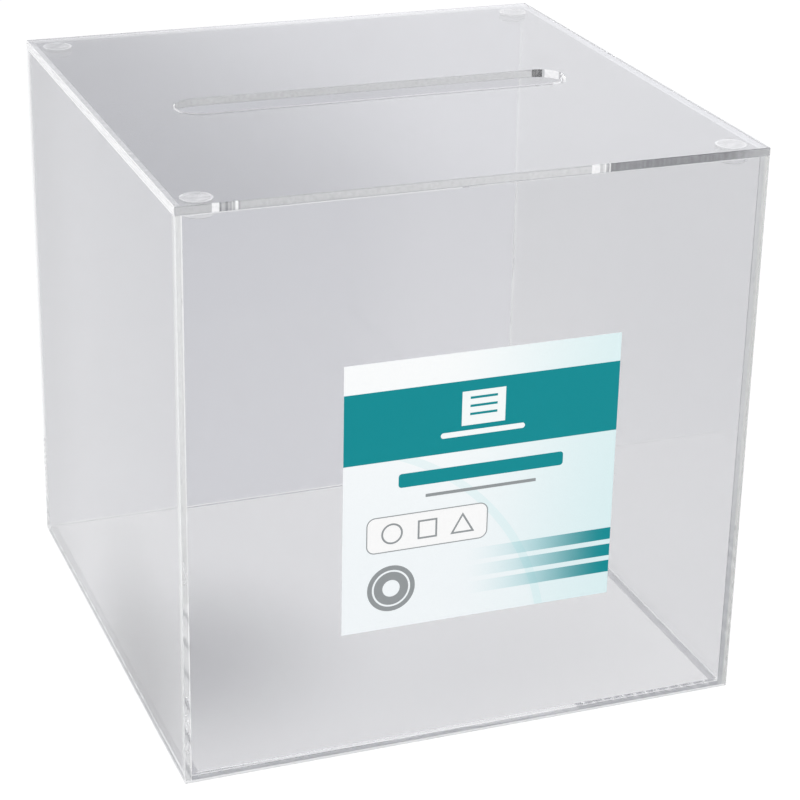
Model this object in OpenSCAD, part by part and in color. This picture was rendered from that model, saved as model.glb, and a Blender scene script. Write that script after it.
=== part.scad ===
// Clear ballot box: a cube glued from sheets, with a loose slotted lid.
// Millimetres. +Z is up and the label faces -Y.
// The origin is the centre of the case's footprint, on the surface it stands on.

/* [Case] */
// Outside width, left to right
case_w = 210; // [180:1:320]
// Outside depth, front to back
case_d = 210; // [120:1:320]
// Height with the lid on
case_h = 210; // [170:1:360]
// Thickness of the wall sheet
wall_t = 3; // [2:0.5:5]
// Thickness of the base sheet
base_t = 3; // [2:0.5:5]
// Bevel polished along every open edge of the sheets
edge_ease = 0.3; // [0.1:0.1:0.6]

/* [Lid] */
// Thickness of the lid sheet
lid_t = 3; // [2:0.5:5]
// Length of the posting slot, over its round ends
slot_l = 150; // [60:1:165]
// Width of the posting slot
slot_w = 18; // [8:1:26]
// Shift of the slot from the lid's centre line, towards the back
slot_shift = 0; // [-40:1:40]

/* [Locating discs] */
// Diameter of the discs under the lid's corners
disc_d = 11; // [8:0.5:18]
// Height of the discs
disc_t = 3; // [2:0.5:8]
// Gap between a disc and the two walls beside it
disc_play = 1.5; // [0.5:0.1:4]

/* [Label] */
// Width of the paper label on the front
label_w = 101; // [60:1:150]
// Height of the label
label_h = 100.5; // [60:0.5:110]
// Thickness of the label
label_t = 0.15; // [0.1:0.05:0.3]
// Shift of the label from the front's centre line, towards the right
label_shift = 2.2; // [-10:0.1:10]
// Height of the label's lower edge above the standing surface
label_up = 48.4; // [10:0.1:55]

/* [Hidden] */

// The four walls stand from the surface up to the underside of the lid.
wall_h = case_h - lid_t;
inside_w = case_w - 2 * wall_t;
inside_d = case_d - 2 * wall_t;
// Centres of the discs, measured from the middle of the lid.
disc_x = inside_w / 2 - disc_play - disc_d / 2;
disc_y = inside_d / 2 - disc_play - disc_d / 2;
// Cutters reach this far past the faces they cut.
reach = 1;
round_fn = 96;
clear_sheet = [0.84, 0.85, 0.88, 0.45];
clear_disc = [0.90, 0.92, 0.94, 0.60];
label_paper = [0.90, 0.96, 0.96];

// A rectangle about the centre with its four corners cut off at 45 degrees.
function eased_outline(a, b, ease) =
    let (x = a / 2, y = b / 2) [
        [x - ease, -y], [x, -y + ease], [x, y - ease], [x - ease, y],
        [-x + ease, y], [-x, y - ease], [-x, -y + ease], [-x + ease, -y]
    ];

// A block standing on the surface, with a bevel along each of its twelve edges.
module eased_block(w, d, h, ease) {
    translate([0, 0, h / 2])
        intersection() {
            linear_extrude(height = h, center = true)
                polygon(eased_outline(w, d, ease));
            rotate([90, 0, 0])
                linear_extrude(height = d, center = true)
                    polygon(eased_outline(w, h, ease));
            rotate([90, 0, 90])
                linear_extrude(height = w, center = true)
                    polygon(eased_outline(d, h, ease));
        }
}

// Outer form of the four glued walls.
module case_form() {
    eased_block(case_w, case_d, wall_h, edge_ease);
}

// Bevel cut along the inner top edge of a wall that runs along X.
// The wall's inner face is at y = 0 and its sheet lies towards -Y.
module rim_cut(length) {
    translate([0, 0, wall_h])
        rotate([90, 0, 90])
            linear_extrude(height = length, center = true)
                polygon([
                    [-edge_ease, 0], [0, -edge_ease],
                    [reach, -edge_ease], [reach, reach], [-edge_ease, reach]
                ]);
}

// Front and back walls run the full width and cover the side walls' ends.
module wide_wall() {
    difference() {
        intersection() {
            case_form();
            translate([-case_w / 2, -case_d / 2, 0])
                cube([case_w, wall_t, wall_h]);
        }
        translate([0, -inside_d / 2, 0])
            rim_cut(inside_w);
    }
}

// Side walls stand between the front and the back wall.
module side_wall() {
    difference() {
        intersection() {
            case_form();
            translate([-case_w / 2, -inside_d / 2, 0])
                cube([wall_t, inside_d, wall_h]);
        }
        translate([-inside_w / 2, 0, 0])
            rotate([0, 0, -90])
                rim_cut(inside_d);
    }
}

// A flat bar with round ends along X, from z0 to z1. It is wider by grow0 all round at z0,
// and by grow1 at z1.
module slot_bar(z0, z1, grow0, grow1) {
    half_w = slot_w / 2;
    straight = slot_l - slot_w;
    rotate([90, 0, 90])
        linear_extrude(height = straight, center = true)
            polygon([
                [-half_w - grow0, z0], [half_w + grow0, z0],
                [half_w + grow1, z1], [-half_w - grow1, z1]
            ]);
    for (side = [-1, 1])
        translate([side * straight / 2, 0, z0])
            cylinder(h = z1 - z0, r1 = half_w + grow0, r2 = half_w + grow1, $fn = round_fn);
}

// A disc whose lower rim is eased. Its flat top is glued under the lid.
module locating_disc(x_side, y_side) {
    r = disc_d / 2;
    color(clear_disc)
        translate([x_side * disc_x, y_side * disc_y, wall_h - disc_t])
            rotate_extrude($fn = round_fn)
                polygon([
                    [0, 0], [r - edge_ease, 0], [r, edge_ease], [r, disc_t], [0, disc_t]
                ]);
}

module base_panel() {
    color(clear_sheet)
        translate([-inside_w / 2, -inside_d / 2, 0])
            cube([inside_w, inside_d, base_t]);
}

module front_panel() {
    color(clear_sheet)
        wide_wall();
}

module back_panel() {
    color(clear_sheet)
        rotate([0, 0, 180])
            wide_wall();
}

module left_panel() {
    color(clear_sheet)
        side_wall();
}

module right_panel() {
    color(clear_sheet)
        rotate([0, 0, 180])
            side_wall();
}

// The lid is as large as the case and rests on the walls' top edges.
// Both rims of its posting slot are eased.
module lid_panel() {
    color(clear_sheet)
        translate([0, 0, wall_h])
            difference() {
                eased_block(case_w, case_d, lid_t, edge_ease);
                translate([0, slot_shift, 0]) {
                    slot_bar(-reach, lid_t + reach, 0, 0);
                    slot_bar(-reach, edge_ease, edge_ease + reach, 0);
                    slot_bar(lid_t - edge_ease, lid_t + reach, 0, edge_ease + reach);
                }
            }
}

module disc_front_left() {
    locating_disc(-1, -1);
}

module disc_front_right() {
    locating_disc(1, -1);
}

module disc_back_left() {
    locating_disc(-1, 1);
}

module disc_back_right() {
    locating_disc(1, 1);
}

// Square-cornered paper label, stuck to the outside of the front wall.
module label() {
    color(label_paper)
        translate([label_shift - label_w / 2, -case_d / 2 - label_t, label_up])
            cube([label_w, label_t, label_h]);
}

base_panel();
front_panel();
back_panel();
left_panel();
right_panel();
lid_panel();
disc_front_left();
disc_front_right();
disc_back_left();
disc_back_right();
label();
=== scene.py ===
"""Looks of the clear ballot box: acrylic sheets that bend light, glued joints and a printed label."""

import math

import bmesh
import bpy
from mathutils import Matrix, Vector

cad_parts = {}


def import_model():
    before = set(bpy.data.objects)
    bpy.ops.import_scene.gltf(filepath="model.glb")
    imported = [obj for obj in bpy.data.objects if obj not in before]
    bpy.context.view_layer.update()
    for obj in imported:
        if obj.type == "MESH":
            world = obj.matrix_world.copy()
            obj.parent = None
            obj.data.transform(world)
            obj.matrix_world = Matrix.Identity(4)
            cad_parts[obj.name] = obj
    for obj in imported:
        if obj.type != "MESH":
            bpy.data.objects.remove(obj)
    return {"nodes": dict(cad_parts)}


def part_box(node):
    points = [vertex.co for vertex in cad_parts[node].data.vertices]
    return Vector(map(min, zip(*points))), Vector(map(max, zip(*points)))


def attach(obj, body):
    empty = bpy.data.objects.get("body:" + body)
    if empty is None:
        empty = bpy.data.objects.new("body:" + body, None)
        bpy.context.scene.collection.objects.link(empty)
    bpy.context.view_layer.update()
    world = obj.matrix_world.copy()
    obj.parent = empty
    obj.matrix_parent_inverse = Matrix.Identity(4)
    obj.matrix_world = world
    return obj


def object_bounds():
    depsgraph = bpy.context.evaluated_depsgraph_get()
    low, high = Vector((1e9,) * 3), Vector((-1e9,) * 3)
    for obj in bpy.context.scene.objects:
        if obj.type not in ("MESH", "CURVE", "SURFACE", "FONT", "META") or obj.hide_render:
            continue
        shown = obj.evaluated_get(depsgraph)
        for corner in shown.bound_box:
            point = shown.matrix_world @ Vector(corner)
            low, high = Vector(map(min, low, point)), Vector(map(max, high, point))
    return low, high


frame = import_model()
cad_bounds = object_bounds()

# Lengths are in metres where no comment says otherwise. A name that ends in TURN holds the two ends of a
# smooth change.
MM = 0.001
X, Y, Z = 0, 1, 2

# Driving sizes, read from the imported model.
case_low, case_high = cad_bounds
front_low, front_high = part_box("front_panel")
left_low, left_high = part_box("left_panel")
base_low, base_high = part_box("base_panel")
lid_low, lid_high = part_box("lid_panel")
disc_low, disc_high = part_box("disc_front_right")
label_low, label_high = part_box("label")
half_w = front_high.x
half_d = -front_low.y
inside_x = -left_high.x
inside_y = -front_high.y
ground = base_low.z
base_top = base_high.z
wall_top = front_high.z
middle_up = (case_low.z + case_high.z) / 2
disc_centre = (disc_low + disc_high) / 2
disc_radius = (disc_high.x - disc_low.x) / 2
label_centre = (label_low + label_high) / 2
label_half = (label_high - label_low) / 2


class Nodes:
    """A material's node tree, with short calls for the nodes that these materials use."""

    def __init__(self, name):
        self.material = bpy.data.materials.new(name)
        self.material.use_nodes = True
        self.tree = self.material.node_tree
        self.tree.nodes.clear()
        self.output = self.add("ShaderNodeOutputMaterial")

    def add(self, kind, **settings):
        node = self.tree.nodes.new(kind)
        for key, value in settings.items():
            setattr(node, key, value)
        return node

    def put(self, socket, value):
        """Link another socket to this one, or set it to a number, a vector or a colour."""
        if isinstance(value, bpy.types.NodeSocket):
            self.tree.links.new(value, socket)
        elif isinstance(value, (tuple, list)) and len(value) == 3 and socket.type == "RGBA":
            socket.default_value = (*value, 1.0)
        else:
            socket.default_value = value

    def math(self, operation, a, b=0.0, c=None, clamp=False):
        node = self.add("ShaderNodeMath", operation=operation, use_clamp=clamp)
        self.put(node.inputs[0], a)
        self.put(node.inputs[1], b)
        if c is not None:
            self.put(node.inputs[2], c)
        return node.outputs[0]

    def below(self, value, limit):
        """1 where value is less than limit, else 0."""
        return self.math("LESS_THAN", value, limit)

    def above(self, value, limit):
        """1 where value is more than limit, else 0."""
        return self.math("GREATER_THAN", value, limit)

    def within(self, value, centre, reach):
        """1 where value is no further than reach from centre, else 0."""
        return self.math("COMPARE", value, centre, reach)

    def size(self, value):
        """The value without its sign."""
        return self.math("ABSOLUTE", value)

    def line(self, value, slope, start, clamp=False):
        """slope times value, plus start."""
        return self.math("MULTIPLY_ADD", value, slope, start, clamp)

    def other(self, mask):
        """1 where the mask is 0, and 0 where it is 1."""
        return self.math("SUBTRACT", 1.0, mask)

    def chain(self, operation, values):
        total = values[0]
        for value in values[1:]:
            total = self.math(operation, total, value)
        return total

    def times(self, *values):
        """The product. Of masks, it is 1 where all of them are."""
        return self.chain("MULTIPLY", values)

    def most(self, *values):
        """The largest. Of masks, it is 1 where any of them is."""
        return self.chain("MAXIMUM", values)

    def vector(self, operation, a, b, output=0):
        node = self.add("ShaderNodeVectorMath", operation=operation)
        self.put(node.inputs[0], a)
        self.put(node.inputs[1], b)
        return node.outputs[output]

    def away(self, point, centre):
        """Distance between the two."""
        return self.vector("DISTANCE", point, centre, output=1)

    def split(self, vector):
        node = self.add("ShaderNodeSeparateXYZ")
        self.put(node.inputs[0], vector)
        return node.outputs

    def join(self, x, y=0.0):
        node = self.add("ShaderNodeCombineXYZ")
        self.put(node.inputs[0], x)
        self.put(node.inputs[1], y)
        return node.outputs[0]

    def position(self):
        return self.add("ShaderNodeTexCoord").outputs["Object"]

    def normal(self):
        return self.add("ShaderNodeNewGeometry").outputs["True Normal"]

    def met_from_behind(self):
        """1 where a ray meets the back of a face, on its way out of a solid."""
        return self.add("ShaderNodeNewGeometry").outputs["Backfacing"]

    def noise(self, vector, scale, detail=2.0):
        node = self.add("ShaderNodeTexNoise")
        self.put(node.inputs["Vector"], vector)
        self.put(node.inputs["Scale"], scale)
        self.put(node.inputs["Detail"], detail)
        return node.outputs["Fac"]

    def step(self, value, low, high, to_low=0.0, to_high=1.0):
        """A smooth change from to_low to to_high, while value goes from low to high."""
        node = self.add("ShaderNodeMapRange", interpolation_type="SMOOTHSTEP")
        for socket, number in zip(node.inputs[:5], (value, low, high, to_low, to_high)):
            self.put(socket, number)
        return node.outputs[0]

    def bump(self, height, distance):
        node = self.add("ShaderNodeBump")
        self.put(node.inputs["Height"], height)
        self.put(node.inputs["Distance"], distance)
        return node.outputs["Normal"]

    def ray(self, *kinds):
        """1 on rays of these kinds, else 0."""
        path = self.add("ShaderNodeLightPath")
        return self.most(*(path.outputs[kind] for kind in kinds))

    def colours(self, factor, a, b):
        node = self.add("ShaderNodeMix", data_type="RGBA")
        self.put(node.inputs["Factor"], factor)
        self.put(node.inputs["A"], a)
        self.put(node.inputs["B"], b)
        return node.outputs["Result"]

    def shaders(self, factor, a, b):
        node = self.add("ShaderNodeMixShader")
        self.put(node.inputs[0], factor)
        self.put(node.inputs[1], a)
        self.put(node.inputs[2], b)
        return node.outputs[0]

    def coloured(self, kind, colour):
        """A shader of this kind in this colour."""
        node = self.add(kind)
        self.put(node.inputs["Color"], colour)
        return node.outputs[0]

    def transparent(self, colour=(1.0, 1.0, 1.0)):
        return self.coloured("ShaderNodeBsdfTransparent", colour)

    def principled(self, **values):
        node = self.add("ShaderNodeBsdfPrincipled")
        for key, value in values.items():
            self.put(node.inputs[key.replace("_", " ")], value)
        return node

    def surface(self, shader):
        self.tree.links.new(shader, self.output.inputs["Surface"])
        return self.material


# Where the camera stands round the box, in degrees and metres. Lens and sensor are in millimetres.
CAMERA_AZIMUTH, CAMERA_ELEVATION, CAMERA_ROLL = -21.14, 23.3, 1.18
CAMERA_DISTANCE = 0.9128
CAMERA_RIGHT, CAMERA_UP = 0.0111, -0.0160
CAMERA_LENS, CAMERA_SENSOR = 108.0, 36.0


def camera():
    """It faces the middle of the box from in front and above, then moves a little right and down."""
    azimuth, elevation = math.radians(CAMERA_AZIMUTH), math.radians(CAMERA_ELEVATION)
    roll = math.radians(CAMERA_ROLL)
    back = Vector((
        math.sin(azimuth) * math.cos(elevation),
        -math.cos(azimuth) * math.cos(elevation),
        math.sin(elevation),
    ))
    level = (-back).cross(Vector((0, 0, 1))).normalized()
    upward = level.cross(-back)
    right = level * math.cos(roll) + upward * math.sin(roll)
    up = upward * math.cos(roll) - level * math.sin(roll)
    data = bpy.data.cameras.new("camera")
    data.lens, data.sensor_width = CAMERA_LENS, CAMERA_SENSOR
    cam = bpy.data.objects.new("camera", data)
    bpy.context.scene.collection.objects.link(cam)
    target = Vector((0, 0, middle_up))
    matrix = Matrix((right, up, back)).transposed().to_4x4()
    matrix.translation = target + back * CAMERA_DISTANCE + right * CAMERA_RIGHT + up * CAMERA_UP
    cam.matrix_world = matrix
    bpy.context.scene.camera = cam


FLOOR_SIZE, FLOOR_DROP = 6, 0.2 * MM
FLOOR_COLOUR, FLOOR_LIFT = 0.80, 0.21


def floor():
    """A plain white floor. What the camera sees of it, also through glass, is lifted to white."""
    bpy.ops.mesh.primitive_plane_add(size=FLOOR_SIZE, location=(0, 0, -FLOOR_DROP))
    plane = bpy.context.object
    plane.name = "floor"
    n = Nodes("floor_white")
    diffuse = n.coloured("ShaderNodeBsdfDiffuse", (FLOOR_COLOUR,) * 3)
    lift = n.add("ShaderNodeEmission")
    seen = n.ray("Is Camera Ray", "Is Glossy Ray", "Is Transmission Ray")
    n.put(lift.inputs["Strength"], n.times(seen, FLOOR_LIFT))
    both = n.add("ShaderNodeAddShader")
    n.put(both.inputs[0], diffuse)
    n.put(both.inputs[1], lift.outputs[0])
    plane.data.materials.append(n.surface(both.outputs[0]))


def world():
    """Even white light from all round."""
    made = bpy.data.worlds.new("studio")
    bpy.context.scene.world = made
    made.use_nodes = True
    light = made.node_tree.nodes["Background"]
    light.inputs["Color"].default_value = (1.0, 1.0, 1.0, 1.0)
    light.inputs["Strength"].default_value = 1.0


KEY_PLACE, KEY_AIM = (-0.6, -0.8, 1.4), (0, 0, 0.1)
KEY_SIZE, KEY_ENERGY = 0.8, 2.5


def key_lamp():
    """A weak, broad lamp above the box, in front of it and to its left."""
    data = bpy.data.lights.new("key", "AREA")
    data.size, data.energy = KEY_SIZE, KEY_ENERGY
    ob = bpy.data.objects.new("key", data)
    bpy.context.scene.collection.objects.link(ob)
    ob.location = KEY_PLACE
    aim = Vector(KEY_AIM) - ob.location
    ob.rotation_euler = aim.to_track_quat("-Z", "Y").to_euler()


# A face with more than FLAT_PART of its normal along an axis is square to it. A face with less than
# UPRIGHT_PART of it along Z stands upright, and one between the two slopes, as a bevel does. On a sheet
# without bevels a face with less than EDGE_PART along Z is an edge.
FLAT_PART, UPRIGHT_PART, EDGE_PART = 0.95, 0.30, 0.5
# Faces this close to a plane are taken to lie in it.
SKIN = 0.05 * MM
# How far in from an edge of the lid its faces and bevels are taken to reach.
EDGE_REACH = 0.5 * MM
# How far a bevel along a foot or a rim is taken to reach.
BEVEL_REACH = 1.0 * MM
# Ends of the change from left to right, or from front to back, near the middle of the box.
MIDDLE_TURN = (-0.01, 0.01)
# The posting slot, from its middle to its straight sides and to the start of its round ends.
SLOT_HALF_WIDE, SLOT_STRAIGHT = 9.0 * MM, 66.0 * MM
# Beyond this, to the left or to the right, is the lid's edge and not the slot.
SLOT_LIMIT = 0.1


def flat_mask(n, normal_part):
    """1 on faces that are square to the axis of this part of the normal."""
    return n.above(n.size(normal_part), FLAT_PART)


def sloping(n, normal):
    return n.within(n.size(normal[Z]), (FLAT_PART + UPRIGHT_PART) / 2, (FLAT_PART - UPRIGHT_PART) / 2)


def upright(n, normal):
    return n.below(n.size(normal[Z]), UPRIGHT_PART)


def by_side(n, part, low, high):
    """low on the left or in front and high on the right or behind, by this part of the place."""
    return n.step(part, *MIDDLE_TURN, low, high)


def from_disc(n, place):
    """Distance from the middle of the nearest disc, measured level."""
    folded = n.join(n.size(place[X]), n.size(place[Y]))
    return n.away(folded, (disc_centre.x, -disc_centre.y, 0.0))


def in_slot(n, place):
    """1 round the posting slot, 0 at the lid's outer edges."""
    across = n.below(n.size(place[Y]), SLOT_HALF_WIDE + BEVEL_REACH)
    return n.times(across, n.below(n.size(place[X]), SLOT_LIMIT))


def at_lid_front(n, place):
    return n.below(place[Y], lid_low.y + EDGE_REACH)


def at_lid_left(n, place):
    return n.below(place[X], lid_low.x + EDGE_REACH)


def at_lid_right(n, place):
    return n.above(place[X], lid_high.x - EDGE_REACH)


# Joints. Where something is glued on, a ray goes straight through, as through a clear cemented joint.


def wide_wall_joint(n, place, normal):
    """Where the side walls and the base are glued to the front and back wall, and behind the label."""
    inner = n.below(n.size(place[Y]), inside_y + SKIN)
    at_side = n.above(n.size(place[X]), inside_x)
    at_base = n.below(place[Z], base_top)
    flat = flat_mask(n, normal[Y])
    at_label = n.times(
        flat,
        n.below(place[Y], SKIN - half_d),
        n.within(place[X], label_centre.x, label_half.x),
        n.within(place[Z], label_centre.z, label_half.z),
    )
    return n.most(at_label, n.times(flat, inner, n.most(at_side, at_base)))


def side_wall_joint(n, place, normal):
    """Ends of a side wall, and its inner face where the base is glued to it."""
    inner = n.below(n.size(place[X]), inside_x + SKIN)
    at_base = n.below(place[Z], base_top)
    return n.most(flat_mask(n, normal[Y]), n.times(flat_mask(n, normal[X]), inner, at_base))


def base_joint(n, place, normal):
    """All four edges of the base are glued. The base has no bevels."""
    return n.below(n.size(normal[Z]), EDGE_PART)


def lid_joint(n, place, normal):
    """Underside of the lid, inside the four discs' outlines."""
    return n.times(n.below(normal[Z], -FLAT_PART), n.below(from_disc(n, place), disc_radius))


def disc_joint(n, place, normal):
    """Flat top of a disc, glued under the lid."""
    return n.above(normal[Z], FLAT_PART)


# Tints of the broad faces. OUT is for the view's rays that leave the box through a sheet, and IN for those
# that enter it. Each tints function gives the two in this order, and a tone goes from deep, 0, to pale, 1.
CLEAR_TINT = (0.970, 0.970, 0.975)
EDGE_TINT = (0.975, 0.980, 0.982)

WALL_OUT_DEEP, WALL_OUT_PALE = (0.512, 0.516, 0.552), (0.710, 0.712, 0.738)
WALL_TONE, WALL_TONE_UP, WALL_TONE_LEFT = 0.5, -1.4, -0.20
WALL_LEFT_TURN = (0.02, 0.07)


def wall_tints(n, place):
    """On the way out a little paler to the right and towards the bottom, as painted light and shade."""
    at_left = n.step(place[X], *WALL_LEFT_TURN, WALL_TONE_LEFT, 0.0)
    across = n.math("ADD", n.math("ADD", place[X], WALL_TONE), at_left)
    height = n.math("SUBTRACT", place[Z], middle_up)
    tone = n.line(height, WALL_TONE_UP, across, clamp=True)
    return n.colours(tone, WALL_OUT_DEEP, WALL_OUT_PALE), CLEAR_TINT


SIDE_OUT_DEEP, SIDE_OUT_PALE = (0.640, 0.643, 0.662), (0.690, 0.692, 0.706)
SIDE_IN_DEEP, SIDE_IN_PALE = (0.508, 0.510, 0.532), (0.965, 0.967, 0.980)
SIDE_IN_SHADE = (0.410, 0.412, 0.430)
SIDE_TONE, SIDE_TONE_BACK = 0.62, -0.30
SIDE_UP_TURN, SIDE_BACK_TURN = (0.0, 0.15), (0.02, 0.105)
SIDE_SHADE_PLACE = (left_low.x, -0.052, ground)
SIDE_SHADE_REACH, SIDE_SHADE_DEPTH = 0.088, 0.85


def side_tints(n, place):
    """Painted light and shade: paler low down on the way out, and on the way in deeper at the back, with a
    painted shade at the left wall's foot.
    """
    low = n.step(place[Z], *SIDE_UP_TURN, 1.0, 0.0)
    outward = n.colours(low, SIDE_OUT_DEEP, SIDE_OUT_PALE)
    tone = n.line(n.step(place[Y], *SIDE_BACK_TURN), SIDE_TONE_BACK, SIDE_TONE)
    inward = n.colours(tone, SIDE_IN_DEEP, SIDE_IN_PALE)
    from_shade = n.away(n.position(), SIDE_SHADE_PLACE)
    shade = n.step(from_shade, 0.0, SIDE_SHADE_REACH, SIDE_SHADE_DEPTH, 0.0)
    return outward, n.colours(shade, inward, SIDE_IN_SHADE)


BASE_OUT_DEEP, BASE_OUT_PALE = (0.700, 0.701, 0.713), (0.775, 0.775, 0.783)
BASE_OUT_SHADE = (0.440, 0.441, 0.454)
BASE_TONE, BASE_TONE_RIGHT = 0.5, 3.0
BASE_SHADE_PLACE = (-0.092, -0.022, 0.0)
BASE_SHADE_REACH = 0.095


def base_tints(n, place):
    """Painted light and shade: a little paler towards the right, with a soft painted shade near the left
    wall.
    """
    tone = n.line(place[X], BASE_TONE_RIGHT, BASE_TONE, clamp=True)
    plain = n.colours(tone, BASE_OUT_DEEP, BASE_OUT_PALE)
    level = n.vector("MULTIPLY", n.position(), (1.0, 1.0, 0.0))
    shade = n.step(n.away(level, BASE_SHADE_PLACE), 0.0, BASE_SHADE_REACH, 1.0, 0.0)
    return n.colours(shade, plain, BASE_OUT_SHADE), CLEAR_TINT


LID_OUT = (0.660, 0.662, 0.685)
LID_IN_DEEP, LID_IN_PALE = (0.584, 0.588, 0.616), (0.933, 0.936, 0.960)
LID_TURN = (-0.10, 0.02)
LID_MOTTLE, LID_MOTTLE_SCALE = 0.20, 9.0


def lid_tints(n, place):
    """On the way in deeper towards the left, and slightly mottled."""
    mottle = n.line(n.noise(n.position(), LID_MOTTLE_SCALE, detail=1.0), LID_MOTTLE, -LID_MOTTLE / 2)
    tone = n.math("ADD", n.step(place[X], *LID_TURN), mottle, clamp=True)
    return LID_OUT, n.colours(tone, LID_IN_DEEP, LID_IN_PALE)


def disc_tints(n, place):
    """Clear both ways."""
    return EDGE_TINT, EDGE_TINT


def going_out(n, place, broad):
    """1 where a ray of the view crosses a sheet from the inside of the box to the outside, else 0.

    That is where it leaves the sheet by the sheet's outer half, or enters it by the inner half.
    """
    if broad == Z:
        height = n.size(n.math("SUBTRACT", place[Z], (wall_top + base_top) / 2))
        outer_half = n.above(height, wall_top / 2)
    else:
        outer_half = n.above(n.size(place[broad]), (inside_x + half_w) / 2)
    return n.within(outer_half, n.met_from_behind(), 0.5)


# Edges. Tints of the faces that aren't broad. The dark ones are painted shade.
LID_BACK_TINT = (0.72, 0.725, 0.735)
LID_RIM_TINT = (0.50, 0.505, 0.52)
SLOT_FOOT_TINT = (0.06, 0.062, 0.068)
# The slot's near side begins this share of its half width in front of its middle.
SLOT_NEAR = 0.6
FOOT_TINT = (0.30, 0.302, 0.315)
DISC_SIDE_TINT, DISC_BEVEL_TINT = (0.60, 0.61, 0.62), (0.12, 0.122, 0.13)


def plain_edge(n, place, normal):
    """Polished edges, which take almost no light."""
    return EDGE_TINT


def lid_edge(n, place, normal):
    """Clear edges, but darker front bevels, a darker back and a dark foot at the slot's near side, all
    painted shade.
    """
    slope = sloping(n, normal)
    rim = n.times(slope, at_lid_front(n, place))
    behind = n.above(normal[Y], FLAT_PART)
    around = n.colours(rim, n.colours(behind, EDGE_TINT, LID_BACK_TINT), LID_RIM_TINT)
    near = n.below(place[Y], -SLOT_NEAR * SLOT_HALF_WIDE)
    foot = n.times(slope, near, n.below(place[Z], lid_low.z + BEVEL_REACH))
    return n.colours(in_slot(n, place), around, n.colours(foot, EDGE_TINT, SLOT_FOOT_TINT))


def wall_edge(n, place, normal):
    """Clear edges, with a darker bevel along the foot, painted shade."""
    foot = n.times(sloping(n, normal), n.below(place[Z], BEVEL_REACH))
    return n.colours(foot, EDGE_TINT, FOOT_TINT)


def disc_edge(n, place, normal):
    """A grey turned side and a dark lower bevel, both painted shade."""
    return n.colours(sloping(n, normal), DISC_SIDE_TINT, DISC_BEVEL_TINT)


# Chalk. Colours of the places that are matt: bevels and sawn edges, and on the lid's front edge and slot
# also painted light and shade and painted highlights.
EASED_AND_HIGHLIGHT_WHITE = (0.93, 0.93, 0.94)
EDGE_PALE_LEFT, EDGE_PALE_RIGHT = (0.485, 0.49, 0.505), (0.60, 0.605, 0.62)
EDGE_SHADE, EDGE_SHADE_STREAK = (0.215, 0.22, 0.235), (0.170, 0.174, 0.187)
EDGE_RIGHT = (0.42, 0.42, 0.43)
SLOT_LEFT, SLOT_RIGHT = (0.44, 0.445, 0.46), (0.53, 0.535, 0.55)
SLOT_END_GREY, SLOT_DARK_SPOT = (0.40, 0.405, 0.42), (0.06, 0.06, 0.065)
# How much of the dark painted shade is mixed into a bevel of the front edge or the slot.
BEVEL_DARKER = 0.2
# Along the front edge: where it goes from pale to the dark band of painted reflection, and where the dark
# gives way at the corner.
PALE_TURN, DARK_TURN, CORNER_TURN = (-0.10, 0.03), (42.0 * MM, 46.0 * MM), (86.0 * MM, 104.0 * MM)
CORNER_DARK = 0.45
# Painted highlights and their streaks on the front edge, painted highlight patches and a dark streaked spot
# in the slot: middle and half width of each.
HIGHLIGHT_LEFT, HIGHLIGHT_RIGHT = (-91.6 * MM, 1.2 * MM), (39.6 * MM, 1.5 * MM)
STREAKS_LEFT, STREAKS_RIGHT = (-86.8 * MM, 3.4 * MM), (43.2 * MM, 2.0 * MM)
FAR_PATCH = (SLOT_STRAIGHT + 6.6 * MM, 1.9 * MM)
NEAR_PATCH = (SLOT_STRAIGHT + 2.6 * MM, 1.8 * MM)
DARK_SPOT = (SLOT_STRAIGHT + 2.0 * MM, 1.9 * MM)
# The slot's left end carries a painted highlight from here to the left, where its wall has more than this
# along Y.
LEFT_END, LEFT_END_TURNED = -SLOT_STRAIGHT - 0.5 * MM, -0.35
# Fine lines of a saw. The ranges say how wide and how sharp they are, and GAPS is what lies between.
SAW_SCALE = 620.0
SAW_HIGHLIGHT_LEFT, SAW_HIGHLIGHT_RIGHT, SAW_DARK_SPOT = (0.50, 0.60), (0.50, 0.62), (0.30, 0.45)
SAW_SOFT, SAW_SOFT_GAPS, SAW_HIGHLIGHT_GAPS = (0.35, 0.65), (0.65, 0.35), (0.55, 0.40)
# A face with less than this along Y faces the front. On the slot's far side a more turned face counts.
FRONT_FACING, FAR_SIDE_FACING = -0.5, -0.2


def saw_lines(n, place, low, high):
    """Fine upright lines along X, as a saw leaves them on an edge."""
    return n.step(n.noise(n.join(place[X]), SAW_SCALE), low, high)


def front_edge(n, place, normal):
    """1 on the lid's front edge and its bevels."""
    return n.times(n.below(normal[Y], FRONT_FACING), at_lid_front(n, place))


def edge_highlights(n, place):
    """Painted highlights on the lid's front edge, each with a few streaks at its right."""
    across = place[X]
    return n.most(
        n.within(across, *HIGHLIGHT_LEFT),
        n.within(across, *HIGHLIGHT_RIGHT),
        n.times(n.within(across, *STREAKS_LEFT), saw_lines(n, place, *SAW_HIGHLIGHT_LEFT)),
        n.times(n.within(across, *STREAKS_RIGHT), saw_lines(n, place, *SAW_HIGHLIGHT_RIGHT)),
    )


def slot_end_highlights(n, place, normal):
    """Painted highlights on the slot's round ends: the left one's outer wall, two patches on the right one.
    """
    ends = n.above(n.size(place[X]), SLOT_STRAIGHT)
    left = n.times(n.below(place[X], LEFT_END), n.above(normal[Y], LEFT_END_TURNED))
    far = n.above(place[Y], 0.0)
    far_patch = n.times(n.within(place[X], *FAR_PATCH), far)
    near_patch = n.times(n.within(place[X], *NEAR_PATCH), n.other(far))
    return n.times(ends, n.most(left, far_patch, near_patch))


def plain_chalk(n, place, normal):
    return EASED_AND_HIGHLIGHT_WHITE


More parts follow.
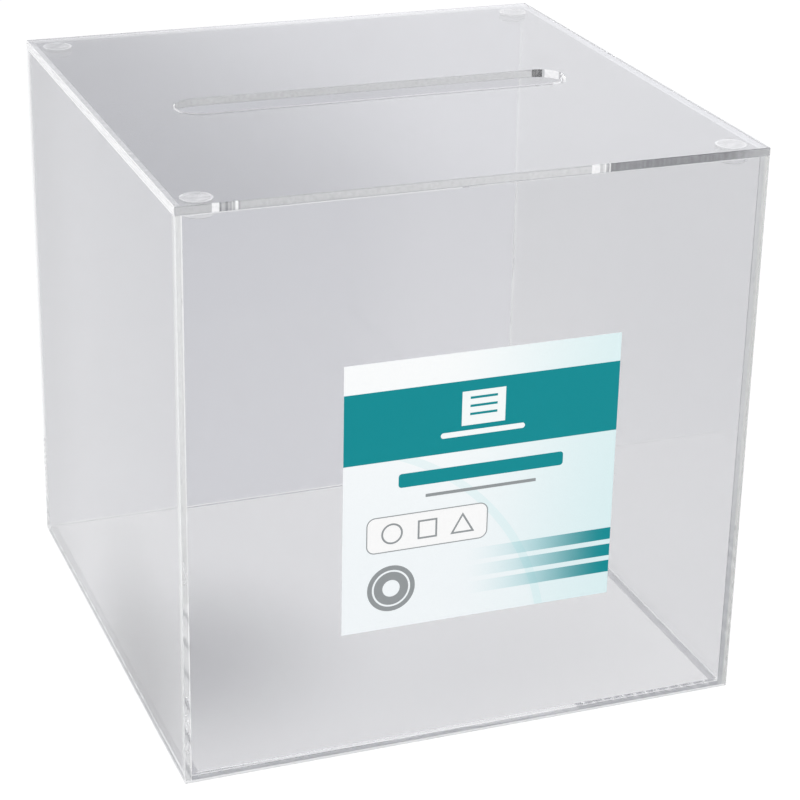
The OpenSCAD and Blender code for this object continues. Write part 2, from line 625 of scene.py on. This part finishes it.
def front_chalk(n, place, normal):
    """The lid's front edge, painted light and shade: pale at the left, a dark band of painted reflection at
    the right, with dark streaks and painted highlights.
    """
    pale = n.colours(n.step(place[X], *PALE_TURN), EDGE_PALE_LEFT, EDGE_PALE_RIGHT)
    pale = n.colours(n.times(sloping(n, normal), BEVEL_DARKER), pale, EDGE_SHADE)
    dark = n.colours(saw_lines(n, place, *SAW_SOFT), EDGE_SHADE_STREAK, EDGE_SHADE)
    corner = n.step(place[X], *CORNER_TURN, 1.0, CORNER_DARK)
    tone = n.colours(n.times(n.step(place[X], *DARK_TURN), corner), pale, dark)
    gaps = n.times(n.within(place[X], *STREAKS_LEFT), saw_lines(n, place, *SAW_HIGHLIGHT_GAPS))
    tone = n.colours(gaps, tone, EDGE_SHADE)
    return n.colours(edge_highlights(n, place), tone, EASED_AND_HIGHLIGHT_WHITE)


def slot_chalk(n, place, normal):
    """The slot's far side, with a streaked left end, and a dark streaked spot and painted highlight patches
    at its right.
    """
    tone = n.colours(n.step(place[X], -SLOT_STRAIGHT, SLOT_STRAIGHT), SLOT_LEFT, SLOT_RIGHT)
    tone = n.colours(n.times(sloping(n, normal), BEVEL_DARKER), tone, EDGE_SHADE)
    far_left = n.times(n.below(place[X], -SLOT_STRAIGHT), saw_lines(n, place, *SAW_SOFT_GAPS))
    tone = n.colours(far_left, tone, SLOT_END_GREY)
    dark_spot = n.times(n.within(place[X], *DARK_SPOT), saw_lines(n, place, *SAW_DARK_SPOT))
    tone = n.colours(dark_spot, tone, SLOT_DARK_SPOT)
    return n.colours(slot_end_highlights(n, place, normal), tone, EASED_AND_HIGHLIGHT_WHITE)


def lid_chalk(n, place, normal):
    """The front edge and the slot have their own tones, the right edge is grey, the rest is white."""
    tone = n.colours(front_edge(n, place, normal), EASED_AND_HIGHLIGHT_WHITE, front_chalk(n, place, normal))
    tone = n.colours(at_lid_right(n, place), tone, EDGE_RIGHT)
    return n.colours(in_slot(n, place), tone, slot_chalk(n, place, normal))


# Scatter. How matt a place is, from 0 for clear to 1.
PLAIN_BEVEL_MATT, LID_BEVEL_MATT = 0.4, 0.03
LID_FRONT_MATT, SLOT_FAR_MATT, SLOT_END_MATT = 0.85, 0.85, 0.85
LID_LEFT_MATT, LID_LEFT_BEVEL_MATT, LID_RIGHT_BEVEL_MATT = 0.45, 0.80, 0.70
# A wall's upright corner bevel has this much of its normal along X, give or take.
CORNER_PART, CORNER_SPREAD = 0.7, 0.2
# Corner bevels are whitish as a painted highlight, more at the left than at the right.
CORNER_SIDE_TURN, CORNER_LEFT_MATT, CORNER_RIGHT_MATT = (0.0, 0.01), 0.45, 0.18
FOOT_BEVEL_TURN, FOOT_BEVEL_MATT, RIM_BEVEL_MATT = (1.0 * MM, 2.0 * MM), 0.02, 0.12
WALL_END_MATT, SIDE_END_MATT, SIDE_BEVEL_MATT, SIDE_RIGHT_SHARE = 0.60, 0.62, 0.75, 0.60


def plain_scatter(n, place, normal):
    """Bevels only, softly."""
    return n.times(sloping(n, normal), PLAIN_BEVEL_MATT)


def lid_scatter(n, place, normal):
    """Matt on the front edge, the slot's far side and ends, the left edge and the right bevels."""
    slot = in_slot(n, place)
    slope, wall = sloping(n, normal), upright(n, normal)
    ends = n.times(slot, slot_end_highlights(n, place, normal))
    far = n.times(slot, n.below(normal[Y], FAR_SIDE_FACING), n.above(place[Y], 0.0))
    left_faces = n.most(n.times(slope, LID_LEFT_BEVEL_MATT), n.times(wall, LID_LEFT_MATT))
    return n.most(
        n.times(front_edge(n, place, normal), LID_FRONT_MATT),
        n.times(at_lid_left(n, place), left_faces),
        n.times(at_lid_right(n, place), slope, LID_RIGHT_BEVEL_MATT),
        n.times(ends, n.most(slope, n.times(wall, SLOT_END_MATT))),
        n.times(far, SLOT_FAR_MATT),
        n.times(slope, LID_BEVEL_MATT),
    )


def wall_scatter(n, place, normal):
    """Whitish upright corners, a painted highlight that is stronger at the left, faint feet and rims, and
    sawn upper ends.
    """
    corner = n.within(n.size(normal[X]), CORNER_PART, CORNER_SPREAD)
    corner_highlight = n.step(place[X], *CORNER_SIDE_TURN, CORNER_LEFT_MATT, CORNER_RIGHT_MATT)
    bevel_matt = n.step(place[Z], *FOOT_BEVEL_TURN, FOOT_BEVEL_MATT, RIM_BEVEL_MATT)
    return n.most(
        n.times(corner, corner_highlight),
        n.times(sloping(n, normal), bevel_matt),
        n.times(n.above(normal[Z], FLAT_PART), WALL_END_MATT),
    )


def side_scatter(n, place, normal):
    """The upper and lower ends of a side wall are left as sawn, a fine matt white, duller on the right."""
    end = n.times(flat_mask(n, normal[Z]), SIDE_END_MATT)
    white = n.most(end, n.times(sloping(n, normal), SIDE_BEVEL_MATT))
    return n.times(white, by_side(n, place[X], 1.0, SIDE_RIGHT_SHARE))


# Acrylic.
ACRYLIC_IOR = 1.49
# Slight waves of the polished faces.
WAVE_SCALE, WAVE_HEIGHT = 38.0, 0.02 * MM
# A ray that has turned more often than this when it meets the acrylic ends there, glowing in this colour:
# painted light for what a sheet scatters from its edges.
TRAPPED_AFTER, TRAPPED_LIGHT = 30, (0.90, 0.91, 0.93)
# Colour of what passes straight through for shadows and bounced light.
SHADE_TINT = (0.985, 0.985, 0.988)
# Grain of the matt places.
GRAIN_SCALE, GRAIN_TURN, GRAIN_RANGE = 700.0, (0.2, 0.7), (0.85, 1.0)
# Uneven spread of dried glue and cement, as a range of their noise.
CLOUD_TURN = (0.3, 0.75)
# Glue over the discs. It is thinner behind and at the right, and thicker at a disc's rim.
GLUE_BACK_SHARE, GLUE_RIGHT_SHARE = 0.7, 0.5
GLUE_SCALE, GLUE_RANGE = 260.0, (0.6, 1.0)
GLUE_RIM_TURN, GLUE_RIM_COVER = (0.72 * disc_radius, 0.90 * disc_radius), 1.5
DISC_HAZE, DISC_GLUE = 0.12, 0.85


def clear_shader(n, base_colour):
    """Clear acrylic that bends the view. A ray that is caught in it ends in a pale glow, painted light for
    what the sheet scatters.
    """
    glass = n.principled(
        Base_Color=base_colour,
        Transmission_Weight=1.0,
        IOR=ACRYLIC_IOR,
        Roughness=0.0,
    )
    waves = n.noise(n.position(), WAVE_SCALE, detail=1.0)
    n.put(glass.inputs["Normal"], n.bump(waves, WAVE_HEIGHT))
    painted_glow = n.coloured("ShaderNodeEmission", TRAPPED_LIGHT)
    depth = n.add("ShaderNodeLightPath").outputs["Ray Depth"]
    return n.shaders(n.above(depth, TRAPPED_AFTER), glass.outputs[0], painted_glow)


def matt_shader(n, colour):
    """A matt skin that is lit from both sides alike."""
    near_side = n.coloured("ShaderNodeBsdfDiffuse", colour)
    far_side = n.coloured("ShaderNodeBsdfTranslucent", colour)
    return n.shaders(0.5, near_side, far_side)


def glue_cover(n, place, glue):
    """How much the glue over a disc hides, where glue is the most that it does in front at the left."""
    behind = by_side(n, place[Y], glue, GLUE_BACK_SHARE * glue)
    amount = n.times(behind, by_side(n, place[X], 1.0, GLUE_RIGHT_SHARE))
    milky = n.times(amount, n.step(n.noise(n.position(), GLUE_SCALE), *CLOUD_TURN, *GLUE_RANGE))
    rim = n.times(amount, n.step(from_disc(n, place), *GLUE_RIM_TURN, 0.0, GLUE_RIM_COVER))
    return n.most(milky, rim)


def acrylic(name, broad, joint, tints, edge=plain_edge, scatter=plain_scatter,
            chalk=plain_chalk, haze=0.0, glue=0.0):
    """Clear acrylic for a sheet whose broad faces lie across the axis broad.

    The functions say where it is glued, which tints its broad faces and its edges have, how matt
    each place is and in which colour. Haze is the least that any place is matt, and glue is how
    much the glue in its joints hides.
    """
    n = Nodes(name)
    place = n.split(n.position())
    normal = n.split(n.normal())
    outward, inward = tints(n, place)
    body = n.colours(going_out(n, place, broad), inward, outward)
    clear = clear_shader(n, n.colours(flat_mask(n, normal[broad]), edge(n, place, normal), body))
    matt = matt_shader(n, chalk(n, place, normal))
    grain = n.step(n.noise(n.position(), GRAIN_SCALE), *GRAIN_TURN, *GRAIN_RANGE)
    cover = n.times(scatter(n, place, normal), grain)
    if haze:
        cover = n.most(cover, haze)
    straight = n.ray("Is Shadow Ray", "Is Diffuse Ray")
    lit = n.shaders(straight, n.shaders(cover, clear, matt), n.transparent(SHADE_TINT))
    seam = n.transparent()
    if glue:
        shown = n.times(glue_cover(n, place, glue), n.other(straight))
        seam = n.shaders(shown, seam, matt)
    return n.surface(n.shaders(joint(n, place, normal), lit, seam))


def dress(material, *names):
    for name in names:
        slots = frame["nodes"][name].data.materials
        slots.clear()
        slots.append(material)


# The label's print. Colours, and then sizes and places in millimetres from its lower left corner.
# A bar is given by its left, right, lower and upper side, and a wedge by its middle, foot, width and height.
TEAL = (0.0, 0.262, 0.296)
PALE_TEAL = (0.62, 0.85, 0.87)
BRIGHT_TEAL = (0.14, 0.56, 0.62)
PAPER = (0.915, 0.955, 0.975)
PAPER_PAINTED_LIGHT = (0.98, 0.995, 1.0)
BAND_WHITE = (0.95, 0.98, 0.98)
BOX_WHITE = (0.98, 0.98, 0.98)
SEAL_GREY = (0.30, 0.32, 0.33)

PRINT_WIDE = 2 * label_half.x / MM
# The paper turns whiter between these heights towards the top, as painted light.
GROUND_UP_TURN = (20, 100)
GROUND_ACROSS_TURN, GROUND_TEAL = (30, 110), 0.65
CURVE_CENTRE, CURVE_TURN, CURVE_PAPER = (-14, -18), (86, 90), 0.45
CURVE_RADIUS, CURVE_WIDTH, CURVE_TEAL = 90, 3, 0.35

BAND = (0, PRINT_WIDE, 64, 90)
POST, POST_ROUND = (35, 66, 69.6, 71.6), 1.0
SLIP = (42.5, 58.5, 73.4, 86)
SLIP_LINES, SLIP_LINE_HIGH = (77.0, 80.0, 83.0), 0.9
SLIP_LINE_LEFT, SLIP_LINE_RIGHT = 45.5, 55.5

HEADING, HEADING_ROUND = (20, 81, 53.4, 58.6), 1.2
RULE = (30, 71, 48.6, 49.8)
SHAPES_BOX, SHAPES_ROUND, SHAPES_LINE = (9, 53, 30, 43), 2.8, 0.4
SHAPE_LINE = 0.7
CIRCLE, CIRCLE_RADIUS = (18, 36.5), 3.6
SQUARE = (27.4, 34.6, 32.9, 40.1)
WEDGE_OUTER, WEDGE_INNER = (44, 32.9, 9.0, 7.8), (44, 33.6, 6.6, 5.7)
SEAL, SEAL_RADIUS, SEAL_RING, SEAL_DOT = (18, 15.5), 8.8, 6.7, 3.2
STRIPES, STRIPE_LEFT, STRIPE_HIGH = (8.5, 15.0, 21.5), 44, 4.6
STRIPE_FADE_TURN, STRIPE_TONE_TURN = (44, 100), (52, 98)

SPECK_SCALE, SPECK_TURN, PAPER_ROUGH = 2600.0, (0.3, 0.7), (0.34, 0.42)
SPECK_TONE = 0.05
PAPER_SHINE = 0.15
PAPER_GRAIN_SCALE, PAPER_GRAIN_HEIGHT = 900.0, 0.01 * MM


def grown(bar, by):
    left, right, low, high = bar
    return left - by, right + by, low - by, high + by


class Print:
    """Shapes printed on the label."""

    def __init__(self, n):
        self.n = n
        parts = n.split(n.position())
        self.across = n.line(parts[X], 1 / MM, -label_low.x / MM)
        self.up = n.line(parts[Z], 1 / MM, -label_low.z / MM)
        self.point = n.join(self.across, self.up)
        self.colour = PAPER

    def bar(self, left, right, low, high):
        n = self.n
        wide = n.within(self.across, (left + right) / 2, (right - left) / 2)
        tall = n.within(self.up, (low + high) / 2, (high - low) / 2)
        return n.times(wide, tall)

    def away(self, x, y):
        return self.n.away(self.point, (x, y, 0.0))

    def dot(self, x, y, radius):
        return self.n.below(self.away(x, y), radius)

    def ring(self, x, y, radius, width):
        return self.n.within(self.away(x, y), radius, width / 2)

    def tablet(self, left, right, low, high, radius):
        """A bar with round corners."""
        parts = [self.bar(left + radius, right - radius, low, high)]
        parts.append(self.bar(left, right, low + radius, high - radius))
        for x in (left + radius, right - radius):
            for y in (low + radius, high - radius):
                parts.append(self.dot(x, y, radius))
        return self.n.most(*parts)

    def wedge(self, x, low, width, height):
        """A triangle standing on its flat side, with its top over x."""
        n = self.n
        beside = n.size(n.math("SUBTRACT", self.across, x))
        slope = n.line(beside, -2 * height / width, low + height)
        return n.times(n.above(self.up, low), n.below(self.up, slope))

    def ink(self, mask, colour):
        self.colour = self.n.colours(mask, self.colour, colour)

    def outline(self, outer, inner, colour):
        self.ink(self.n.math("SUBTRACT", outer, inner), colour)


def label_ground(p):
    """Paper that gets whiter towards the top as painted light, and pale teal towards the right, crossed by a
    wide curve.
    """
    n = p.n
    p.ink(n.step(p.up, *GROUND_UP_TURN), PAPER_PAINTED_LIGHT)
    p.ink(n.times(n.step(p.across, *GROUND_ACROSS_TURN), GROUND_TEAL), PALE_TEAL)
    curve = n.step(p.away(*CURVE_CENTRE), *CURVE_TURN, 1.0, 0.0)
    p.ink(n.times(curve, CURVE_PAPER), PAPER)
    p.ink(n.times(p.ring(*CURVE_CENTRE, CURVE_RADIUS, CURVE_WIDTH), CURVE_TEAL), PALE_TEAL)


def label_header(p):
    """A teal band with a folded slip over a slot."""
    p.ink(p.bar(*BAND), TEAL)
    p.ink(p.tablet(*POST, POST_ROUND), BAND_WHITE)
    p.ink(p.bar(*SLIP), BAND_WHITE)
    for low in SLIP_LINES:
        p.ink(p.bar(SLIP_LINE_LEFT, SLIP_LINE_RIGHT, low, low + SLIP_LINE_HIGH), TEAL)


def label_body(p):
    """Plain bars, three outlined shapes in a white box, a ring with a dot and three fading bars."""
    n = p.n
    p.ink(p.tablet(*HEADING, HEADING_ROUND), TEAL)
    p.ink(p.bar(*RULE), SEAL_GREY)
    around = p.tablet(*grown(SHAPES_BOX, SHAPES_LINE), SHAPES_ROUND + SHAPES_LINE)
    p.outline(around, p.tablet(*SHAPES_BOX, SHAPES_ROUND), SEAL_GREY)
    p.ink(p.tablet(*SHAPES_BOX, SHAPES_ROUND), BOX_WHITE)
    p.ink(p.ring(*CIRCLE, CIRCLE_RADIUS, SHAPE_LINE), SEAL_GREY)
    p.outline(p.bar(*SQUARE), p.bar(*grown(SQUARE, -SHAPE_LINE)), SEAL_GREY)
    p.outline(p.wedge(*WEDGE_OUTER), p.wedge(*WEDGE_INNER), SEAL_GREY)
    p.ink(p.dot(*SEAL, SEAL_RADIUS), SEAL_GREY)
    p.ink(p.ring(*SEAL, SEAL_RING, SHAPE_LINE), PAPER)
    p.ink(p.dot(*SEAL, SEAL_DOT), PAPER)
    fade = n.step(p.across, *STRIPE_FADE_TURN)
    tone = n.colours(n.step(p.across, *STRIPE_TONE_TURN), BRIGHT_TEAL, TEAL)
    for low in STRIPES:
        p.ink(n.times(p.bar(STRIPE_LEFT, PRINT_WIDE, low, low + STRIPE_HIGH), fade), tone)


def label_print():
    """Glossy paper, printed on its outer face only."""
    n = Nodes("label_print")
    p = Print(n)
    label_ground(p)
    label_header(p)
    label_body(p)
    outward = n.below(n.split(n.normal())[Y], -FLAT_PART)
    printed = n.times(outward, n.other(n.met_from_behind()))
    speck = n.noise(n.position(), SPECK_SCALE)
    grain = n.line(speck, SPECK_TONE, 1.0 - SPECK_TONE / 2)
    skin = n.principled(
        Base_Color=n.vector("MULTIPLY", n.colours(printed, PAPER, p.colour), grain),
        Roughness=n.step(speck, *SPECK_TURN, *PAPER_ROUGH),
        Specular_IOR_Level=PAPER_SHINE,
    )
    n.put(skin.inputs["Normal"], n.bump(n.noise(n.position(), PAPER_GRAIN_SCALE), PAPER_GRAIN_HEIGHT))
    return n.surface(skin.outputs[0])


# Films without thickness, this far inside the joints, carrying cement that has dried in the glued joints,
# and painted shadow and shade.
FILM_INSET, FILM_CELLS = 0.03 * MM, 60
# Bubbles in it, in patches of a slow noise, and how far from its middle a bubble ends.
PATCH_SCALE, PATCH_SOFT, BUBBLE_TURN = 48.0, 0.06, (0.16, 0.28)


def film_mesh(name, corners, cells):
    """A flat sheet of cement between four corners, cut into cells along its first side."""
    a, b, c, d = (Vector(v) for v in corners)
    bm = bmesh.new()
    rows = []
    for i in range(cells + 1):
        t = i / cells
        rows.append((bm.verts.new(a.lerp(b, t)), bm.verts.new(d.lerp(c, t))))
    for (p, q), (r, s) in zip(rows, rows[1:]):
        bm.faces.new((p, r, s, q))
    mesh = bpy.data.meshes.new(name)
    bm.to_mesh(mesh)
    bm.free()
    ob = bpy.data.objects.new(name, mesh)
    bpy.context.scene.collection.objects.link(ob)
    return ob


def bubbles(n, place, scale, where):
    """Small round bubbles, in the patches where a slow noise is above the number where."""
    cells = n.add("ShaderNodeTexVoronoi", feature="F1")
    n.put(cells.inputs["Vector"], place)
    n.put(cells.inputs["Scale"], scale)
    patch = n.step(n.noise(place, PATCH_SCALE, detail=1.0), where, where + PATCH_SOFT)
    return n.times(n.step(cells.outputs["Distance"], *BUBBLE_TURN, 1.0, 0.0), patch)


def cement_surface(n, cover, colour):
    """A film that hides what is behind it by cover. Shadows and bounced light go through it."""
    milk = n.coloured("ShaderNodeBsdfDiffuse", colour)
    straight = n.ray("Is Shadow Ray", "Is Diffuse Ray")
    shown = n.times(cover, n.other(straight))
    return n.surface(n.shaders(shown, n.transparent(), milk))


# Upright films. Their inner rim and the start of their inner part are measured from the outer face.
UPRIGHT_RIM, UPRIGHT_INNER_TURN = (2.75 * MM, 0.16 * MM), (0.8 * MM, 1.2 * MM)
UPRIGHT_STRETCH, UPRIGHT_SCALE = (1.0, 1.0, 0.35), 240.0
UPRIGHT_BUBBLE_SCALE, UPRIGHT_BUBBLES, UPRIGHT_BUBBLE_TURN = 520.0, 0.52, (0.02, 0.09)
UPRIGHT_BUBBLES_HIGH = 0.2
UPRIGHT_COVER, UPRIGHT_CLOUD, UPRIGHT_RIGHT_MORE, UPRIGHT_BACK_LESS = 0.30, 0.24, 0.38, -0.50
UPRIGHT_RIM_COVER, UPRIGHT_BUBBLE_COVER = 0.5, 0.6
UPRIGHT_LEFT_TURN, UPRIGHT_RIGHT_TURN = (0.03, 0.10), (0.02, 0.14)
# Tones of the upright cement are painted light and shade: paler at the left and higher up, with a white rim
# at the left and a dark rim at the right.
UPRIGHT_LEFT_LOW, UPRIGHT_LEFT_HIGH = (0.52, 0.53, 0.53), (0.74, 0.75, 0.74)
UPRIGHT_RIGHT_LOW, UPRIGHT_RIGHT_HIGH = (0.44, 0.45, 0.47), (0.55, 0.56, 0.57)
UPRIGHT_RIGHT_OUTER = (0.60, 0.61, 0.60)
UPRIGHT_RIM_LEFT, UPRIGHT_RIM_RIGHT = (0.97, 0.97, 0.97), (0.34, 0.35, 0.37)
UPRIGHT_BUBBLE = (0.30, 0.31, 0.33)


def upright_cement_and_shade():
    """Cement between a side wall's end and the wall that covers it. Densest in front at the right. Its tones
    are painted light and shade, paler at the left and higher up, with a white rim at the left and a dark one
    at the right.
    """
    n = Nodes("cement_and_shade_upright")
    place = n.position()
    parts = n.split(place)
    inward = n.math("SUBTRACT", half_w, n.size(parts[X]))
    rim = n.within(inward, *UPRIGHT_RIM)
    stretched = n.vector("MULTIPLY", place, UPRIGHT_STRETCH)
    cloud = n.step(n.noise(stretched, UPRIGHT_SCALE, detail=3.0), *CLOUD_TURN)
    low = n.step(parts[Z], *UPRIGHT_BUBBLE_TURN, 1.0, 0.0)
    strength = n.line(low, 1.0 - UPRIGHT_BUBBLES_HIGH, UPRIGHT_BUBBLES_HIGH)
    spots = n.times(bubbles(n, stretched, UPRIGHT_BUBBLE_SCALE, UPRIGHT_BUBBLES), strength)
    right = by_side(n, parts[X], 0.0, 1.0)
    behind = by_side(n, parts[Y], 0.0, 1.0)
    dense = n.times(right, n.line(behind, UPRIGHT_BACK_LESS, UPRIGHT_RIGHT_MORE))
    cover = n.line(cloud, UPRIGHT_CLOUD, n.math("ADD", dense, UPRIGHT_COVER))
    cover = n.most(cover, n.times(rim, UPRIGHT_RIM_COVER), n.times(spots, UPRIGHT_BUBBLE_COVER))
    left_tone = n.colours(n.step(parts[Z], *UPRIGHT_LEFT_TURN), UPRIGHT_LEFT_LOW, UPRIGHT_LEFT_HIGH)
    right_tone = n.colours(n.step(parts[Z], *UPRIGHT_RIGHT_TURN), UPRIGHT_RIGHT_LOW, UPRIGHT_RIGHT_HIGH)
    right_tone = n.colours(n.step(inward, *UPRIGHT_INNER_TURN), UPRIGHT_RIGHT_OUTER, right_tone)
    colour = n.colours(right, left_tone, right_tone)
    colour = n.colours(rim, colour, n.colours(right, UPRIGHT_RIM_LEFT, UPRIGHT_RIM_RIGHT))
    return cement_surface(n, cover, n.colours(spots, colour, UPRIGHT_BUBBLE))


# Films round the base: cement with a painted shadow and a painted highlight line. Heights are measured from
# the ground.
FOOT_DEEP_TURN, FOOT_DEEP_COVER, FOOT_CLOUD = (1.35 * MM, 1.6 * MM), 0.55, 0.2
FOOT_LINE, FOOT_LINE_COVER = (1.95 * MM, 0.22 * MM), 0.55
FOOT_TOP_TURN, FOOT_TOP_COVER = (2.2 * MM, 2.4 * MM), 0.16
FOOT_SCALE, FOOT_BUBBLE_SCALE, FOOT_BUBBLES = 150.0, 640.0, 0.50
FOOT_BUBBLE_TURN, FOOT_BUBBLE_COVER = (-0.088, -0.078), 0.7
FOOT_SHADOW_GREY, FOOT_HIGHLIGHT, FOOT_BUBBLE = (0.40, 0.41, 0.43), (0.90, 0.91, 0.92), (0.16, 0.17, 0.18)


def base_cement_and_shadow():
    """Cement along the base's edges with bubbles at the left, and a painted shadow in deep grey low down
    with a bright painted highlight line above.
    """
    n = Nodes("cement_and_shadow_base")
    place = n.position()
    parts = n.split(place)
    height = parts[Z]
    line = n.within(height, *FOOT_LINE)
    cloud = n.step(n.noise(place, FOOT_SCALE, detail=3.0), *CLOUD_TURN)
    at_left = n.step(parts[X], *FOOT_BUBBLE_TURN, 1.0, 0.0)
    spots = n.times(bubbles(n, place, FOOT_BUBBLE_SCALE, FOOT_BUBBLES), at_left)
    shadow_band = n.times(n.step(height, *FOOT_DEEP_TURN, 1.0, 0.0), n.line(cloud, FOOT_CLOUD, FOOT_DEEP_COVER))
    cover = n.most(
        shadow_band,
        n.step(height, *FOOT_TOP_TURN, FOOT_TOP_COVER, 0.0),
        n.times(line, FOOT_LINE_COVER),
        n.times(spots, FOOT_BUBBLE_COVER),
    )
    colour = n.colours(line, FOOT_SHADOW_GREY, FOOT_HIGHLIGHT)
    return cement_surface(n, cover, n.colours(spots, colour, FOOT_BUBBLE))


# Painted shadow on films under the base, as wide as this, and where it begins to fade.
RUN_WIDE, RUN_FADE = 3.4 * MM, 1.9 * MM
RUN_SCALE, RUN_RANGE, RUN_COVER = 90.0, (0.75, 1.0), 0.82
RUN_SHADOW_GREY = (0.44, 0.44, 0.47)


def run_shadow():
    """A painted shadow under the base beside a side wall. It fades out towards the middle."""
    n = Nodes("painted_shadow_run")
    place = n.position()
    inward = n.math("SUBTRACT", inside_x, n.size(n.split(place)[X]))
    fade = n.step(inward, RUN_FADE, RUN_WIDE, 1.0, 0.0)
    cloud = n.step(n.noise(place, RUN_SCALE), *CLOUD_TURN, *RUN_RANGE)
    return cement_surface(n, n.times(fade, cloud, RUN_COVER), RUN_SHADOW_GREY)


def upright_film(side, end):
    """Corners of the film between a side wall's end and the front or back wall."""
    near, far = side * inside_x, side * half_w
    y = end * (inside_y - FILM_INSET)
    return (near, y, ground), (near, y, wall_top), (far, y, wall_top), (far, y, ground)


def side_foot_film(side):
    """Corners of the film between the base and a side wall."""
    x = side * (inside_x - FILM_INSET)
    low = ((x, -inside_y, ground), (x, inside_y, ground))
    return *low, (x, inside_y, base_top), (x, -inside_y, base_top)


def end_foot_film(end):
    """Corners of the film between the base and the front or back wall."""
    y = end * (inside_y - FILM_INSET)
    low = ((-inside_x, y, ground), (inside_x, y, ground))
    return *low, (inside_x, y, base_top), (-inside_x, y, base_top)


def run_film(side):
    """Corners of the film under the base, beside a side wall."""
    x, edge = side * (inside_x - FILM_INSET), side * (inside_x - RUN_WIDE)
    z = ground + FILM_INSET
    return (x, -inside_y, z), (x, inside_y, z), (edge, inside_y, z), (edge, -inside_y, z)


def joint_films_with_painted_shade():
    """Films just inside the side walls' ends, round the base and under it, where the sheets are glued. They
    carry cement and painted light and shade.
    """
    sides, ends = ((-1, "left"), (1, "right")), ((-1, "front"), (1, "back"))
    standing, along, run = upright_cement_and_shade(), base_cement_and_shadow(), run_shadow()
    films = []
    for side, side_name in sides:
        for end, end_name in ends:
            films.append((f"cement_{end_name}_{side_name}", upright_film(side, end), standing))
        films.append((f"cement_and_shadow_base_{side_name}", side_foot_film(side), along))
        films.append((f"painted_shadow_run_{side_name}", run_film(side), run))
    for end, end_name in ends:
        films.append((f"cement_and_shadow_base_{end_name}", end_foot_film(end), along))
    for name, corners, material in films:
        film = film_mesh(name, corners, FILM_CELLS)
        film.data.materials.append(material)
        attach(film, "case")


camera()
floor()
world()
key_lamp()
dress(
    acrylic("acrylic_walls", Y, wide_wall_joint, wall_tints, edge=wall_edge, scatter=wall_scatter),
    "front_panel", "back_panel",
)
dress(
    acrylic("acrylic_sides", X, side_wall_joint, side_tints, scatter=side_scatter),
    "left_panel", "right_panel",
)
dress(acrylic("acrylic_base", Z, base_joint, base_tints), "base_panel")
dress(
    acrylic("acrylic_lid", Z, lid_joint, lid_tints, edge=lid_edge, scatter=lid_scatter, chalk=lid_chalk),
    "lid_panel",
)
dress(
    acrylic("acrylic_discs", Z, disc_joint, disc_tints, edge=disc_edge, haze=DISC_HAZE, glue=DISC_GLUE),
    "disc_front_left", "disc_front_right", "disc_back_left", "disc_back_right",
)
dress(label_print(), "label")
joint_films_with_painted_shade()

# Light runs a long way inside a sheet before it leaves through an edge.
BOUNCES, STRAIGHT_BOUNCES = 160, 64
scene = bpy.context.scene
scene.view_settings.view_transform = "Standard"
scene.cycles.max_bounces = BOUNCES
scene.cycles.transmission_bounces = BOUNCES
scene.cycles.glossy_bounces = BOUNCES
scene.cycles.transparent_max_bounces = STRAIGHT_BOUNCES
